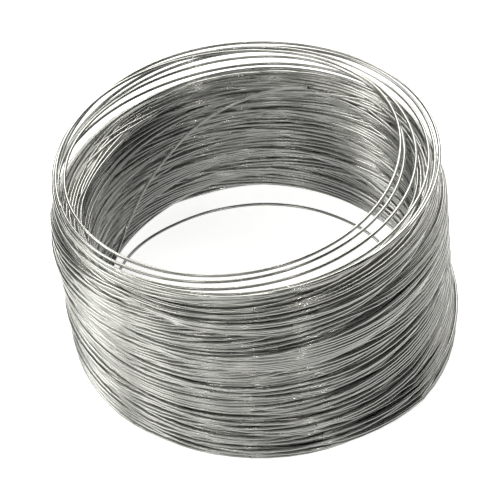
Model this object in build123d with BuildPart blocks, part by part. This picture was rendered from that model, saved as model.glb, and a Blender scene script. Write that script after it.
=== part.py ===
import math
import os

from build123d import *

# Wire and wound body, in millimetres and degrees
wire_diameter = 1.2
bore_diameter = 116.0
body_height = 61.0
turns_deep = 12
groove_depth_share = 0.4

# Lower stack, upright on the floor, with a wall that slopes in towards the leaning upper stack
lower_wall_share = 0.43
lower_top_share = 0.74
lower_top_turns = 9

# Underside, where the turns rest level and a groove shows after every few of them
turns_per_land = 6

# Upper stack, which leans so that its end is high on one side and low on the other
lean_angle = 7.0
high_side_angle = -45.0
lean_height_share = 0.78
upper_turns = 10
turns_cut_by_bore = 1
bulge_turns = 1.4
bulge_drop = 17.0
seat_drop = 33.0
seat_turns = 0.4
crown_drop = 4.0

# Loose turns on the upper end, each set further over towards the low side than the one below it
loose_turn_count = 4
loose_turn_gap = 0.3
loose_turn_radius_share = 0.65
loose_turn_radius_step = 1.2
loose_turn_shift_step = 2.0
loose_turn_sides = 6

# Radii and heights that follow
wire_radius = wire_diameter / 2
groove_depth = wire_diameter * groove_depth_share
bore_radius = bore_diameter / 2
outer_radius = bore_radius + turns_deep * wire_diameter
lower_top_radius = bore_radius + lower_top_turns * wire_diameter
lower_wall_height = body_height * lower_wall_share
lower_top_height = body_height * lower_top_share
lean_height = body_height * lean_height_share

# Lands across the underside, from the bore outwards, each with a groove on both sides
underside = [(bore_radius, groove_depth)]
for land_start in range(0, turns_deep, turns_per_land):
    land_end = min(land_start + turns_per_land, turns_deep)
    inner_edge = bore_radius + land_start * wire_diameter
    outer_edge = bore_radius + land_end * wire_diameter
    underside.append((inner_edge + groove_depth, 0))
    underside.append((outer_edge - groove_depth, 0))
    underside.append((outer_edge, groove_depth))

lower_wall = [
    (outer_radius, lower_wall_height),
    (lower_top_radius, lower_top_height),
    (bore_radius, lower_top_height),
]

# Turns across the upper end, from the bore outwards, on a parabolic crown, measured from the leaning plane
upper_wall = upper_turns * wire_diameter
upper_inner_radius = bore_radius - turns_cut_by_bore * wire_diameter
upper_outer_radius = upper_inner_radius + upper_wall
end_level = body_height - lean_height
turn_shares = [(turn + 0.5) / upper_turns for turn in range(upper_turns)]
crest_radii = [upper_inner_radius + upper_wall * share for share in turn_shares]
crest_levels = [end_level - crown_drop * (2 * share - 1) ** 2 for share in turn_shares]

upper_end = [(upper_inner_radius, crest_levels[0] - groove_depth)]
for turn in range(upper_turns):
    next_level = crest_levels[min(turn + 1, upper_turns - 1)]
    groove_level = min(crest_levels[turn], next_level) - groove_depth
    upper_end.append((crest_radii[turn], crest_levels[turn]))
    upper_end.append((crest_radii[turn] + wire_radius, groove_level))

upper_wall_line = [
    (upper_outer_radius + bulge_turns * wire_diameter, end_level - bulge_drop),
    (upper_outer_radius - seat_turns * wire_diameter, end_level - seat_drop),
    (upper_inner_radius, end_level - seat_drop),
]

# Upright plane through the high side, in which the leaning turns are drawn and whose Y is their axis
lean = math.radians(lean_angle)
high_side = math.radians(high_side_angle)
leaning_plane = Plane(
    origin=(0, 0, lean_height),
    x_dir=(math.cos(high_side), math.sin(high_side), math.tan(lean)),
    z_dir=(math.sin(high_side), -math.cos(high_side), 0),
)

# Wound body, the two stacks as one turned solid with its bore open
with BuildPart() as wound_body:
    with BuildSketch(Plane.XZ):
        with BuildLine():
            Polyline(*underside, *lower_wall, close=True)
        make_face()
    revolve(axis=Axis.Z)
    with BuildSketch(leaning_plane):
        with BuildLine():
            Polyline(*upper_end, *upper_wall_line, close=True)
        make_face()
    revolve(axis=Axis(leaning_plane.origin, leaning_plane.y_dir))
    with BuildSketch():
        Circle(bore_radius)
    extrude(amount=2 * body_height, mode=Mode.SUBTRACT)

# Loose turns, each a closed ring that lies along the leaning end and crosses the ring below it
seat_radius = upper_inner_radius + upper_wall * loose_turn_radius_share
seat_level = end_level + loose_turn_gap + wire_radius

with BuildPart() as loose_turns:
    for turn in range(loose_turn_count):
        turn_shift = (turn + 1) * loose_turn_shift_step
        turn_radius = seat_radius - turn * loose_turn_radius_step
        turn_level = seat_level + turn * (wire_diameter + loose_turn_gap)
        turn_centre = leaning_plane.from_local_coords((-turn_shift, turn_level, 0))
        with BuildSketch(leaning_plane):
            with Locations((turn_radius - turn_shift, turn_level)):
                RegularPolygon(wire_radius, loose_turn_sides, major_radius=False)
        revolve(axis=Axis(turn_centre, leaning_plane.y_dir))

wound_body.part.label = "wound_body"
loose_turns.part.label = "loose_turns"

os.makedirs("parts", exist_ok=True)
export_step(wound_body.part, "parts/wound_body.step")
export_step(loose_turns.part, "parts/loose_turns.step")
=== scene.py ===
"""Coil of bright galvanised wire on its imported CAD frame.

It is one wire, wound from the bore outwards, settled, and sprung open at the top.
"""

import logging
import math
from dataclasses import astuple, dataclass, field
from enum import Enum

import bpy
import numpy as np
from mathutils import Matrix, Vector

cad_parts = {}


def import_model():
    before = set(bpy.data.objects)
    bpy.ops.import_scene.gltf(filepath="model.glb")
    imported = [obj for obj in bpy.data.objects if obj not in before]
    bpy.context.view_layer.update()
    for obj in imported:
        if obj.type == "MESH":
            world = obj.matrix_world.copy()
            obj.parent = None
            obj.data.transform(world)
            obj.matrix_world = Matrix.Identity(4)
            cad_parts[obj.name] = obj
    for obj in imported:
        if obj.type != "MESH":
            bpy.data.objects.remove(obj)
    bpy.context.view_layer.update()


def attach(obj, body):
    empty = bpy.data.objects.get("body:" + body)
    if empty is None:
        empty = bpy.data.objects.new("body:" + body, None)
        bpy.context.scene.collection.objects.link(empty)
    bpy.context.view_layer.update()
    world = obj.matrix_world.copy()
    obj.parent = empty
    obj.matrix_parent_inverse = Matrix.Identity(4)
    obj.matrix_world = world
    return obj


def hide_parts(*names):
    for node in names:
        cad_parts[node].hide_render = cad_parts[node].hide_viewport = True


LOG = logging.getLogger("coil")
MM = 0.001
FULL_TURN = 2 * math.pi
WIRE_MM = 1.2
ON_FLOOR_MM = WIRE_MM / 2
SEED = 11
RUN = "run_of_wire"

# Keeps a distance of nothing from dividing by zero
TINY = 1e-9

# Waves per turn, each with the usual stray in millimetres
Strays = tuple[tuple[int, float], ...]


class Tint(Enum):
    """Colours as they look, in sRGB."""

    ZINC_BRIGHT = "#b4b5b2"
    ZINC_DULL = "#8a8b87"
    FLOOR = "#f4f4f2"
    DAYLIGHT = "#fffdf8"


def linear(tint: Tint) -> tuple[float, float, float, float]:
    """Turns a colour to linear values by the sRGB curve, straight near black and a power above.

    Args:
        tint: The colour.

    Returns:
        Red, green, blue and alpha.
    """
    parts = [int(tint.value[i : i + 2], 16) / 255 for i in (1, 3, 5)]
    red, green, blue = (c / 12.92 if c <= 0.04045 else ((c + 0.055) / 1.055) ** 2.4 for c in parts)
    return red, green, blue, 1.0


def add_node(
    tree: bpy.types.NodeTree, kind: str, links: dict | None = None, **settings: object
) -> bpy.types.Node:
    """Adds one shader node with its settings and incoming links.

    Args:
        tree: The node tree to add to.
        kind: The node's type name.
        links: Input name or number to the output socket that feeds it, or to a plain value.
        **settings: Properties of the node itself.

    Returns:
        The new node.
    """
    node = tree.nodes.new(kind)
    for name, value in settings.items():
        setattr(node, name, value)
    for key, value in (links or {}).items():
        if isinstance(value, bpy.types.NodeSocket):
            tree.links.new(value, node.inputs[key])
        else:
            node.inputs[key].default_value = value
    return node


def smooth(values: np.ndarray, width: int) -> np.ndarray:
    """Smooths a run of values with a bell-shaped window, holding both ends.

    Args:
        values: The run.
        width: Window length, an odd count.

    Returns:
        The smoothed run, of the same length.
    """
    bell = np.hanning(width + 2)[1:-1]
    padded = np.pad(values, width // 2, mode="edge")
    return np.convolve(padded, bell / bell.sum(), mode="valid")


def polar(angle: np.ndarray, radius: np.ndarray, height: np.ndarray) -> np.ndarray:
    """Points about the coil's axis: x is radius times the angle's cosine, y radius times its sine.

    Args:
        angle: Angles in radians, counted from +X towards +Y.
        radius: Distances from the axis.
        height: Heights above the floor.

    Returns:
        One row of x, y, z for each point.
    """
    return np.stack([radius * np.cos(angle), radius * np.sin(angle), height], axis=-1)


def run_of(path: np.ndarray) -> np.ndarray:
    """Length of wire from the start of a path to each of its points.

    Args:
        path: Centre line.

    Returns:
        One length for each point.
    """
    steps = np.linalg.norm(np.diff(path, axis=0), axis=1)
    return np.concatenate([[0.0], np.cumsum(steps)])


def tube_mesh(name: str, path: np.ndarray, radius: float, sides: int, run_from: float) -> bpy.types.Object:
    """A round wire along a path, closed by a cap at both ends.

    Each ring of points stands square to the path: one direction is level and the other leans with the path.

    Args:
        name: Name of the new object.
        path: Centre line, in metres.
        radius: Radius of the wire, in metres.
        sides: Points around the wire.
        run_from: Length of wire before this stretch, in metres.

    Returns:
        The new object, linked to the scene.
    """
    run = np.gradient(path, axis=0)
    run /= np.linalg.norm(run, axis=1, keepdims=True)
    level = np.stack([run[:, 1], -run[:, 0], np.zeros(len(run))], axis=1)
    level /= np.linalg.norm(level, axis=1, keepdims=True)
    lean = np.cross(level, run)
    turn = np.arange(sides) * (FULL_TURN / sides)
    ring = np.cos(turn)[None, :, None] * level[:, None, :] + np.sin(turn)[None, :, None] * lean[:, None, :]
    verts = (path[:, None, :] + radius * ring).reshape(-1, 3)

    start = np.arange(len(path) - 1)[:, None] * sides
    here = np.arange(sides)[None, :]
    after = (here + 1) % sides
    quads = np.stack([start + here, start + after, start + sides + after, start + sides + here], axis=-1)
    quads = quads.reshape(-1, 4)
    caps = np.stack([np.arange(sides)[::-1], len(verts) - sides + np.arange(sides)])

    corners = np.concatenate([quads.ravel(), caps.ravel()])
    starts = np.concatenate([np.arange(len(quads)) * 4, quads.size + np.arange(2) * sides])
    counts = np.concatenate([np.full(len(quads), 4), np.full(2, sides)])
    mesh = bpy.data.meshes.new(name)
    mesh.vertices.add(len(verts))
    mesh.vertices.foreach_set("co", verts.astype(np.float32).ravel())
    mesh.loops.add(len(corners))
    mesh.loops.foreach_set("vertex_index", corners.astype(np.int32))
    mesh.polygons.add(len(starts))
    mesh.polygons.foreach_set("loop_start", starts.astype(np.int32))
    mesh.polygons.foreach_set("loop_total", counts.astype(np.int32))
    mesh.polygons.foreach_set("use_smooth", np.arange(len(starts)) < len(quads))
    mesh.update(calc_edges=True)
    length = np.repeat(run_from + run_of(path), sides)
    mesh.attributes.new(RUN, "FLOAT", "POINT").data.foreach_set("value", length.astype(np.float32))
    mesh.validate()
    piece = bpy.data.objects.new(name, mesh)
    bpy.context.scene.collection.objects.link(piece)
    return piece


@dataclass(frozen=True)
class ZincFinish:
    """Hot-dip zinc on drawn steel wire, under a thin clear film.

    To the eye it is satin grey metal, a little cloudy along the wire, with a fine sharp glint of the film.
    """

    name: str = "galvanised_zinc"
    roughness: float = 0.27
    roughness_swing: float = 0.05
    cloud_mm: float = 30.0
    cloud_detail: float = 3.0
    film: float = 1.0
    film_roughness: float = 0.06

    def material(self) -> bpy.types.Material:
        """Builds the finish.

        Returns:
            The material, clouded by the length along the wire.
        """
        material = bpy.data.materials.new(self.name)
        material.use_nodes = True
        tree = material.node_tree
        tree.nodes.clear()
        run = add_node(tree, "ShaderNodeAttribute", attribute_name=RUN).outputs["Fac"]
        cloud = add_node(
            tree,
            "ShaderNodeTexNoise",
            {"W": run, "Scale": 1 / (self.cloud_mm * MM), "Detail": self.cloud_detail},
            noise_dimensions="1D",
        ).outputs["Fac"]
        colour = add_node(
            tree,
            "ShaderNodeMix",
            {"Factor": cloud, "A": linear(Tint.ZINC_DULL), "B": linear(Tint.ZINC_BRIGHT)},
            data_type="RGBA",
        )
        colour_out = next(s for s in colour.outputs if s.type == "RGBA")
        satin = add_node(
            tree,
            "ShaderNodeMapRange",
            {
                "Value": cloud,
                "To Min": self.roughness - self.roughness_swing,
                "To Max": self.roughness + self.roughness_swing,
            },
        ).outputs["Result"]
        shader = add_node(
            tree,
            "ShaderNodeBsdfPrincipled",
            {
                "Roughness": satin,
                "Metallic": 1.0,
                "Base Color": colour_out,
                "Coat Weight": self.film,
                "Coat Roughness": self.film_roughness,
            },
        )
        add_node(tree, "ShaderNodeOutputMaterial", {"Surface": shader.outputs["BSDF"]})
        return material


@dataclass(frozen=True)
class Wave:
    """A wave round the axis."""

    waves: int
    depth: float
    phase: float

    def at(self, angle: np.ndarray) -> np.ndarray:
        """Height of the wave.

        Args:
            angle: Angles in radians.

        Returns:
            One height for each angle.
        """
        return self.depth * np.cos(self.waves * angle + self.phase)


@dataclass(frozen=True)
class Rolls:
    """Round rolls that the turns of a wall lie in, with creases between them that drift up and down."""

    count: float
    depth: float
    drift: tuple[Wave, ...]
    roundness: float = 0.6


@dataclass
class Winding:
    """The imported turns, laid from the bore outwards in traverses and settled against each other.

    Lengths are in millimetres. Arrays hold a row for each turn and a column for each station round the axis.
    """

    # Wire, and the ring it is wound into
    wire: float = WIRE_MM
    bore_radius: float = 58.0
    wall: float = 13.7
    height: float = 61.0
    turns: int = 550
    stations: int = 72

    # Upper end
    slant: float = 8.0
    slant_towards_deg: float = 315.0
    front_swell: float = 4.0
    ripple: tuple[Wave, ...] = (Wave(2, 0.6, 1.0), Wave(3, 0.5, 2.0))
    crown: float = 4.0
    crown_wall: float = 12.0

    # Outer wall, and the rolls of both walls
    draw_in: float = 4.2
    draw_in_from: float = 34.0
    slack: float = 2.0
    inner_rolls: Rolls = Rolls(5.5, 4.0, (Wave(0, 0.2, 0.0), Wave(1, 0.5, 1.8), Wave(2, 0.3, 0.8)))
    outer_rolls: Rolls = Rolls(4.5, 5.0, (Wave(0, 0.7, 0.0), Wave(1, 0.6, 0.8), Wave(2, 0.3, 2.8)))

    # Laying: the guide's traverses, its steps inside and between bundles, and how far the turns stray
    traverses: int = 13
    bundle_turns: tuple[int, int] = (8, 16)
    turn_step: tuple[float, float] = (0.95, 1.2)
    bundle_step: tuple[float, float] = (1.6, 4.5)
    guide_smoothing: int = 31
    bundle_rise: Strays = ((1, 3.4), (2, 2.4), (3, 1.3), (4, 0.5))
    turn_rise: Strays = ((1, 0.15), (2, 0.12), (3, 0.08), (5, 0.04))
    bundle_swing: Strays = ((1, 0.8), (2, 0.7), (3, 0.5))
    turn_swing: float = 0.1
    stand_back: float = 0.5

    # Settling: how turns push each other, are drawn to the walls, pressed down and straightened
    passes: int = 140
    neighbours: int = 35
    push_share: float = 0.275
    push_most: float = 0.35
    tension: float = 0.05
    draw_slope: float = 3.0
    still_depth: float = 0.4
    press_share: float = 0.3
    stiffness: float = 0.22
    last_passes: int = 5
    last_stiffness_share: float = 0.3

    # Slumping: how far the lowest turns stand out at each eighth of the way round, and the upper ones' lean
    foot: tuple[float, ...] = (2.8, 0.8, 0.5, 0.5, 0.3, 3.6, 5.6, 9.4)
    foot_height: float = 30.0
    foot_height_power: float = 1.5
    foot_depth_power: float = 0.5
    lean: float = 1.7
    lean_from: float = 30.0
    lean_towards_deg: float = 180.0

    # Worked out: the stations' angles, where each turn lies, and how far its bundle keeps off the walls
    angle: np.ndarray = field(init=False)
    radius: np.ndarray = field(init=False)
    level: np.ndarray = field(init=False)
    shy: np.ndarray = field(init=False)

    def __post_init__(self) -> None:
        """Sets the stations around the axis."""
        self.angle = np.arange(self.stations) * (FULL_TURN / self.stations)

    def top(self, radius: np.ndarray) -> np.ndarray:
        """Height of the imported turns: slanted overall, swollen at the front and crowned across the wall.

        Args:
            radius: Distances from the axis, one column for each station.

        Returns:
            Heights above the floor.
        """
        across = np.clip((radius - self.bore_radius) / self.crown_wall, 0, 1)
        slanted = self.slant * np.cos(self.angle - math.radians(self.slant_towards_deg))
        ripple = sum(wave.at(self.angle) for wave in self.ripple)
        swell = self.front_swell * np.clip(-np.sin(self.angle), 0, 1) ** 2
        return self.height - self.crown * (2 * across - 1) ** 2 + (slanted + ripple + swell)[None, :]

    def outer(self, level: np.ndarray) -> np.ndarray:
        """Outer radius at a height: upright below, and above drawn in by the square of the way up.

        Args:
            level: Heights above the floor.

        Returns:
            Radii.
        """
        share = np.clip((level - self.draw_in_from) / (self.height - self.draw_in_from), 0, 1)
        return self.bore_radius + self.wall - self.draw_in * share**2

    def stand_off(self, level: np.ndarray, rolls: Rolls) -> np.ndarray:
        """How far turns stand back from a wall: a crease's depth times one minus a rounded sine of height.

        Args:
            level: Heights above the floor.
            rolls: The rolls of that wall.

        Returns:
            Distances from the wall, nothing on the crest of a roll and most in a crease.
        """
        share = level / self.top(np.full_like(level, self.bore_radius + self.crown_wall / 2))
        drift = sum(wave.at(self.angle) for wave in rolls.drift)
        crest = np.abs(np.sin(math.pi * (rolls.count * share + drift[None, :])))
        return rolls.depth * (1 - crest**rolls.roundness)

    def wander(self, rng: np.random.Generator, group: np.ndarray, strays: Strays) -> np.ndarray:
        """How far each turn strays: waves round the axis, the same for all turns of a group.

        Args:
            rng: Source of chance.
            group: Number of the group each turn is in.
            strays: The waves and how strong they are.

        Returns:
            Distances, one row for each turn.
        """
        along = np.arange(self.turns * self.stations) / self.stations
        stray = np.zeros((self.turns, self.stations))
        for waves, strength in strays:
            chance = rng.normal(size=(2, group.max() + 1))[:, group]
            runs = (np.interp(along, np.arange(self.turns), part) for part in chance)
            even, odd = (smooth(run, self.stations + 1).reshape(stray.shape) for run in runs)
            wave = even * np.cos(waves * self.angle) + odd * np.sin(waves * self.angle)
            stray += strength / math.sqrt(2) * wave
        return stray

    def lay(self, rng: np.random.Generator) -> None:
        """Lays the turns: the guide runs up and down in close bundles while the layers build outwards.

        Args:
            rng: Source of chance.
        """
        turn = np.arange(self.turns)
        bundle = np.repeat(turn, rng.integers(*self.bundle_turns, self.turns))[: self.turns]
        starts = np.diff(bundle, prepend=-1) > 0
        between = rng.uniform(*self.bundle_step, self.turns)
        inside = rng.uniform(*self.turn_step, self.turns)
        step = np.where(starts, between, inside)
        guide = np.concatenate([[0.0], np.cumsum(step)])
        guide *= self.traverses / guide[-1]
        along = np.arange(self.turns * self.stations) / self.stations
        guide = smooth(np.interp(along, np.arange(self.turns + 1), guide), self.guide_smoothing)
        share = (1 - np.abs(guide % 2 - 1)).reshape(self.turns, self.stations)
        depth = (along / self.turns).reshape(self.turns, self.stations)

        half = self.wire / 2
        self.radius = self.bore_radius + half + (self.wall - self.wire) * depth
        self.level = half + (self.top(self.radius) - self.wire) * share
        self.level += self.wander(rng, bundle, self.bundle_rise)
        self.level += self.wander(rng, turn, self.turn_rise)
        self.radius += self.wander(rng, bundle, self.bundle_swing)
        self.radius += rng.normal(0.0, self.turn_swing, self.turns)[:, None]
        shy = rng.uniform(0.0, self.stand_back, bundle.max() + 1)[bundle]
        self.shy = smooth(np.interp(along, turn, shy), self.stations + 1).reshape(share.shape)

    def push_apart(self) -> None:
        """Moves turns that overlap at a station away from each other, each by a share of the overlap."""
        order = np.argsort(self.level, axis=0)
        radius = np.take_along_axis(self.radius, order, axis=0)
        level = np.take_along_axis(self.level, order, axis=0)
        move_out = np.zeros_like(radius)
        move_up = np.zeros_like(level)
        for near in range(1, self.neighbours + 1):
            out = radius[near:] - radius[:-near]
            up = level[near:] - level[:-near]
            apart = np.sqrt(out * out + up * up + TINY)
            share = np.where(apart < self.wire, self.push_share * (self.wire - apart) / apart, 0.0)
            move_out[near:] += share * out
            move_out[:-near] -= share * out
            move_up[near:] += share * up
            move_up[:-near] -= share * up
        for values, moves in ((self.radius, move_out), (self.level, move_up)):
            placed = np.zeros_like(values)
            np.put_along_axis(placed, order, np.clip(moves, -self.push_most, self.push_most), axis=0)
            values += placed

    def keep_inside(self, tension: float) -> None:
        """Draws outer turns in, lets inner ones spring out, and keeps all within walls, floor and top.

        Args:
            tension: How far the turns move.
        """
        half = self.wire / 2
        depth = (np.arange(self.turns) + 0.5) / self.turns
        draw = tension * np.clip(self.draw_slope * (self.still_depth - depth), -1.0, 1.0)[:, None]
        innermost = self.bore_radius + half + self.shy + self.stand_off(self.level, self.inner_rolls)
        outermost = self.outer(self.level) + self.slack - half - self.shy
        outermost -= self.stand_off(self.level, self.outer_rolls)
        self.radius = np.clip(self.radius + draw, innermost, outermost)
        over = np.maximum(self.level - self.top(self.radius) + half, 0.0)
        self.level = np.maximum(self.level - self.press_share * over, half)

    def straighten(self, amount: float) -> None:
        """Evens out kinks along the wire, as its stiffness does.

        Args:
            amount: Share of each kink taken out, twice.
        """
        for values in (self.radius, self.level):
            run = values.ravel()
            for _ in range(2):
                run[1:-1] += amount * (run[2:] - 2 * run[1:-1] + run[:-2])

    def settle(self) -> None:
        """Settles the turns against each other, with a pull that fades by the cube of the passes left."""
        for count in range(self.passes):
            self.push_apart()
            left = 1 - count / self.passes
            self.keep_inside(self.tension * left**3)
            share = 1.0 if count < self.passes - self.last_passes else self.last_stiffness_share
            self.straighten(share * self.stiffness)

    def slump(self) -> None:
        """Lets the lower turns stand out, most towards one side, and the upper ones lean towards another."""
        marks = np.arange(len(self.foot)) * (FULL_TURN / len(self.foot))
        stand_out = np.interp(self.angle, marks, self.foot, period=FULL_TURN)
        low = np.clip(1 - self.level / self.foot_height, 0, 1) ** self.foot_height_power
        depth = np.clip((self.radius - self.bore_radius) / self.wall, 0, 1) ** self.foot_depth_power
        self.radius += depth * low * stand_out[None, :]
        high = np.clip((self.level - self.lean_from) / (self.height - self.lean_from), 0, 1)
        self.radius += self.lean * high * np.cos(self.angle - math.radians(self.lean_towards_deg))[None, :]

    def path(self) -> np.ndarray:
        """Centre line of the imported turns.

        Returns:
            Points in metres, in the order of the wire.
        """
        angle = np.broadcast_to(self.angle, self.radius.shape).ravel()
        return polar(angle, self.radius.ravel(), self.level.ravel()) * MM


@dataclass(frozen=True)
class SprungTurn:
    """One sprung turn as a leaning ring, in millimetres.

    Its middle lies off the axis, to the left and to the back, and it rises to the right and to the front.
    """

    radius: float
    left: float
    back: float
    level: float
    right_rise: float
    front_rise: float


@dataclass
class LooseTurns:
    """The last turns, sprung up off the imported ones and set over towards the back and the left.

    The wire passes from each ring to the next, sways a little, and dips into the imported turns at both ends.
    """

    rings: tuple[SprungTurn, ...] = (
        SprungTurn(64.5, 1.5, 0.0, 63.5, 5.0, 7.0),
        SprungTurn(65.0, 3.0, 1.5, 65.0, 4.5, 6.5),
        SprungTurn(67.5, 1.0, 3.5, 68.5, 3.5, 3.0),
        SprungTurn(66.0, 1.5, 3.5, 68.5, 3.0, 3.0),
        SprungTurn(63.5, 4.5, 3.5, 68.0, 4.0, 4.5),
        SprungTurn(62.0, 5.0, 4.5, 68.0, 3.5, 5.0),
        SprungTurn(58.0, 6.0, 6.0, 68.0, 3.0, 5.0),
        SprungTurn(60.5, 7.0, 5.0, 69.0, 3.0, 1.0),
    )
    turns: float = 7.65
    stations: int = 144
    dip: float = 3.0
    dip_turns: float = 0.15
    sway: float = 0.45
    sway_waves: tuple[float, ...] = (2.1, 3.2)

    def path(self, rng: np.random.Generator) -> np.ndarray:
        """Centre line of the loose turns.

        Args:
            rng: Source of chance.

        Returns:
            Points in metres, in the order of the wire.
        """
        along = np.arange(int(self.turns * self.stations)) / self.stations
        angle = FULL_TURN * along
        middles = np.arange(len(self.rings)) + 0.5
        rows = np.array([astuple(ring) for ring in self.rings]).T
        radius, left, back, level, right_rise, front_rise = (
            smooth(np.interp(along, middles, row), self.stations // 2 + 1) for row in rows
        )
        radius = radius - left * np.cos(angle) + back * np.sin(angle)
        level = level + right_rise * np.cos(angle) - front_rise * np.sin(angle)
        for waves in self.sway_waves:
            for run in (radius, level):
                run += self.sway * np.cos(waves * angle + rng.uniform(0, FULL_TURN))
        from_end = np.minimum(along, along[::-1])
        level -= self.dip * np.clip(1 - from_end / self.dip_turns, 0, 1) ** 2
        return polar(angle, radius, level) * MM


@dataclass
class InnerTail:
    """The wire's inner end: down the inner wall from the back, then round the floor inside the bore.

    Each point of the route holds an angle in degrees, and a radius and a level in millimetres.
    """

    route: tuple[tuple[float, float, float], ...] = (
        (65, 57.0, 57.5),
        (80, 57.0, 53.0),
        (95, 57.0, 47.0),
        (110, 57.0, 40.5),
        (120, 57.0, 33.0),
        (135, 57.0, 23.5),
        (150, 57.0, 11.0),
        (165, 57.0, 5.5),
        (190, 56.5, 2.0),
        (270, 55.5, ON_FLOOR_MM),
        (350, 54.5, ON_FLOOR_MM),
        (390, 53.0, ON_FLOOR_MM),
        (410, 50.5, ON_FLOOR_MM),
        (435, 49.0, ON_FLOOR_MM),
        (460, 49.0, ON_FLOOR_MM),
        (485, 51.0, ON_FLOOR_MM),
        (510, 55.5, ON_FLOOR_MM),
        (540, 57.0, ON_FLOOR_MM),
        (720, 58.0, ON_FLOOR_MM),
    )
    stations: int = 144
    smoothing: int = 11

    def path(self) -> np.ndarray:
        """Centre line of the inner end.

        Returns:
            Points in metres, from the free end on.
        """
        marks, radii, levels = np.array(self.route).T
        count = int((marks[-1] - marks[0]) / 360 * self.stations)
        angle = np.linspace(marks[0], marks[-1], count)
        radius = smooth(np.interp(angle, marks, radii), self.smoothing)
        level = smooth(np.interp(angle, marks, levels), self.smoothing)
        return polar(np.radians(angle), radius, level) * MM


@dataclass
class WireCoil:
    """The whole coil, one wire from its inner end to its outer end."""

    winding: Winding = field(default_factory=Winding)
    loose: LooseTurns = field(default_factory=LooseTurns)
    tail: InnerTail = field(default_factory=InnerTail)
    packed_sides: int = 8
    free_sides: int = 10
    inner_end: str = "inner_tail"
    stretches: tuple[str, ...] = (
        "wound_turns_inmost",
        "wound_turns_inner",
        "wound_turns_outer",
        "wound_turns_outmost",
    )
    sprung: str = "sprung_turns"

    def build(self, rng: np.random.Generator) -> dict[str, list[bpy.types.Object]]:
        """Winds the coil and makes its pieces.

        Args:
            rng: Source of chance.

        Returns:
            CAD node to the pieces that stand for it.
        """
        self.winding.lay(rng)
        self.winding.settle()
        self.winding.slump()
        packed = self.winding.path()
        cuts = np.linspace(0, len(packed) - 1, len(self.stretches) + 1).astype(int)
        paths = {self.inner_end: self.tail.path()}
        for name, first, last in zip(self.stretches, cuts[:-1], cuts[1:]):
            paths[name] = packed[first : last + 1]
        paths[self.sprung] = self.loose.path(rng)

        pieces = {"wound_body": [], "loose_turns": []}
        run_from = 0.0
        for name, path in paths.items():
            sides = self.packed_sides if name in self.stretches else self.free_sides
            piece = tube_mesh(name, path, self.winding.wire / 2 * MM, sides, run_from)
            run_from += run_of(path)[-1]
            pieces["loose_turns" if name == self.sprung else "wound_body"].append(piece)
        return pieces

    def dress(self, pieces: dict[str, list[bpy.types.Object]], finish: ZincFinish) -> None:
        """Gives every piece its finish, its body and its place in the record.

        Args:
            pieces: CAD node to the pieces that stand for it.
            finish: The wire's finish.
        """
        material = finish.material()
        for node, group in pieces.items():
            for piece in group:
                piece.data.materials.append(material)
                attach(piece, "root")
                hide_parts(node)
                LOG.info("%s stands for %s with %d faces", piece.name, node, len(piece.data.polygons))


@dataclass(frozen=True)
class Lamp:
    """One soft box that faces the coil.

    Azimuth counts from the camera's side to the right, rise from the floor, and size is one edge.
    """

    name: str
    azimuth_deg: float
    rise_deg: float
    size_m: float
    watts: float


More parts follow.
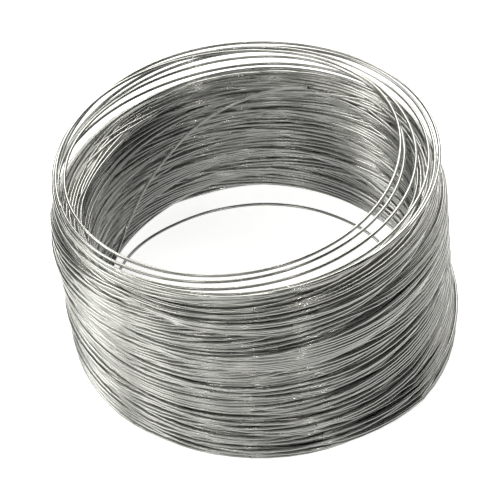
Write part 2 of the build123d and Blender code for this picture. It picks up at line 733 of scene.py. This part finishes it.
@dataclass
class Studio:
    """White sweep, soft light mostly from the back and the left, and the camera at the photo's angle."""

    # Camera, with its shift in pixels of the photo
    elevation_deg: float = 48.17
    roll_deg: float = -4.11
    distance_mm: float = 603.5
    aim_mm: tuple[float, float, float] = (2.23, 0.0, 0.0)
    lens_mm: float = 115.2
    sensor_mm: float = 36.0
    photo_pixels: int = 500
    shift_pixels: tuple[float, float] = (-15.11, 46.88)
    clip_m: tuple[float, float] = (0.01, 20.0)

    # Floor and room
    floor_reach_m: float = 3.0
    floor_glow: float = 0.75
    room_glow: float = 0.04

    # Lamps, which all stand at one distance from a point inside the coil
    lamp_distance_m: float = 0.9
    lamp_aim_m: tuple[float, float, float] = (0.0, 0.0, 0.03)
    lamps: tuple[Lamp, ...] = (
        Lamp("backdrop", 180.0, 14.0, 0.7, 1.3),
        Lamp("left_wall", -100.0, 35.0, 0.35, 3.2),
        Lamp("left_back_high", -120.0, 60.0, 0.4, 0.6),
        Lamp("left_low", -55.0, 12.0, 0.3, 1.7),
        Lamp("front_left", -33.0, 38.0, 0.12, 0.8),
        Lamp("back", 180.0, 46.0, 0.45, 4.2),
        Lamp("right_back", 140.0, 49.0, 0.45, 1.7),
        Lamp("right", 90.0, 12.0, 0.4, 0.15),
        Lamp("glint_left", -12.0, 50.0, 0.05, 0.5),
        Lamp("glint_right", 23.0, 50.0, 0.05, 0.7),
    )

    def camera(self) -> None:
        """Sets the camera up at the photo's angle."""
        lens = bpy.data.cameras.new("photo_camera")
        lens.lens = self.lens_mm
        lens.sensor_width = self.sensor_mm
        lens.shift_x, lens.shift_y = (pixels / self.photo_pixels for pixels in self.shift_pixels)
        lens.clip_start, lens.clip_end = self.clip_m
        camera = bpy.data.objects.new("photo_camera", lens)
        bpy.context.scene.collection.objects.link(camera)
        rise = math.radians(self.elevation_deg)
        roll = math.radians(self.roll_deg)
        ahead = Vector((0.0, math.cos(rise), -math.sin(rise)))
        right = Vector((1.0, 0.0, 0.0))
        up = Vector((0.0, math.sin(rise), math.cos(rise)))
        rolled_right = math.cos(roll) * right + math.sin(roll) * up
        rolled_up = -math.sin(roll) * right + math.cos(roll) * up
        turn = Matrix((rolled_right, rolled_up, -ahead)).transposed().to_4x4()
        place = (Vector(self.aim_mm) - self.distance_mm * ahead) * MM
        camera.matrix_world = Matrix.Translation(place) @ turn
        bpy.context.scene.camera = camera

    def light(self, lamp: Lamp) -> None:
        """Adds one soft box that faces the coil.

        Args:
            lamp: The soft box.
        """
        box = bpy.data.lights.new(lamp.name, "AREA")
        box.shape = "SQUARE"
        box.size = lamp.size_m
        box.energy = lamp.watts
        box.color = linear(Tint.DAYLIGHT)[:3]
        side = math.radians(lamp.azimuth_deg)
        rise = math.radians(lamp.rise_deg)
        out = math.cos(rise)
        towards = Vector((math.sin(side) * out, -math.cos(side) * out, math.sin(rise)))
        light = bpy.data.objects.new(lamp.name, box)
        light.location = towards * self.lamp_distance_m + Vector(self.lamp_aim_m)
        light.rotation_euler = towards.to_track_quat("Z", "Y").to_euler()
        bpy.context.scene.collection.objects.link(light)

    def floor(self) -> None:
        """Lays the floor, matt white board that glows wherever it is seen, mirrored in the wire too."""
        mesh = bpy.data.meshes.new("floor")
        reach = self.floor_reach_m
        corners = [(-reach, -reach, 0), (reach, -reach, 0), (reach, reach, 0), (-reach, reach, 0)]
        mesh.from_pydata(corners, [], [(0, 1, 2, 3)])
        floor = bpy.data.objects.new("floor", mesh)
        bpy.context.scene.collection.objects.link(floor)
        material = bpy.data.materials.new("white_sweep")
        material.use_nodes = True
        tree = material.node_tree
        tree.nodes.clear()
        path = add_node(tree, "ShaderNodeLightPath").outputs
        seen = path["Is Camera Ray"]
        for ray in ("Is Glossy Ray", "Is Transmission Ray"):
            either = add_node(tree, "ShaderNodeMath", {0: seen, 1: path[ray]}, operation="MAXIMUM")
            seen = either.outputs["Value"]
        dimmed = add_node(tree, "ShaderNodeMath", {0: seen, 1: self.floor_glow}, operation="MULTIPLY")
        lift = dimmed.outputs["Value"]
        paint = add_node(tree, "ShaderNodeBsdfDiffuse", {"Color": linear(Tint.FLOOR)}).outputs["BSDF"]
        glow = add_node(tree, "ShaderNodeEmission", {"Strength": lift}).outputs["Emission"]
        both = add_node(tree, "ShaderNodeAddShader", {0: paint, 1: glow}).outputs["Shader"]
        add_node(tree, "ShaderNodeOutputMaterial", {"Surface": both})
        mesh.materials.append(material)

    def room(self) -> None:
        """Fills the room with even light."""
        world = bpy.data.worlds.new("room")
        world.use_nodes = True
        background = world.node_tree.nodes["Background"]
        background.inputs["Color"].default_value = linear(Tint.FLOOR)
        background.inputs["Strength"].default_value = self.room_glow
        bpy.context.scene.world = world

    def build(self) -> None:
        """Sets the whole studio up."""
        self.floor()
        self.room()
        for lamp in self.lamps:
            self.light(lamp)
        self.camera()
        bpy.context.scene.view_settings.view_transform = "Standard"


def main() -> None:
    """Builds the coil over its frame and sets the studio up."""
    logging.basicConfig(level=logging.INFO, format="%(name)s: %(message)s")
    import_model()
    coil = WireCoil()
    coil.dress(coil.build(np.random.default_rng(SEED)), ZincFinish())
    Studio().build()


if __name__ == "__main__":
    main()
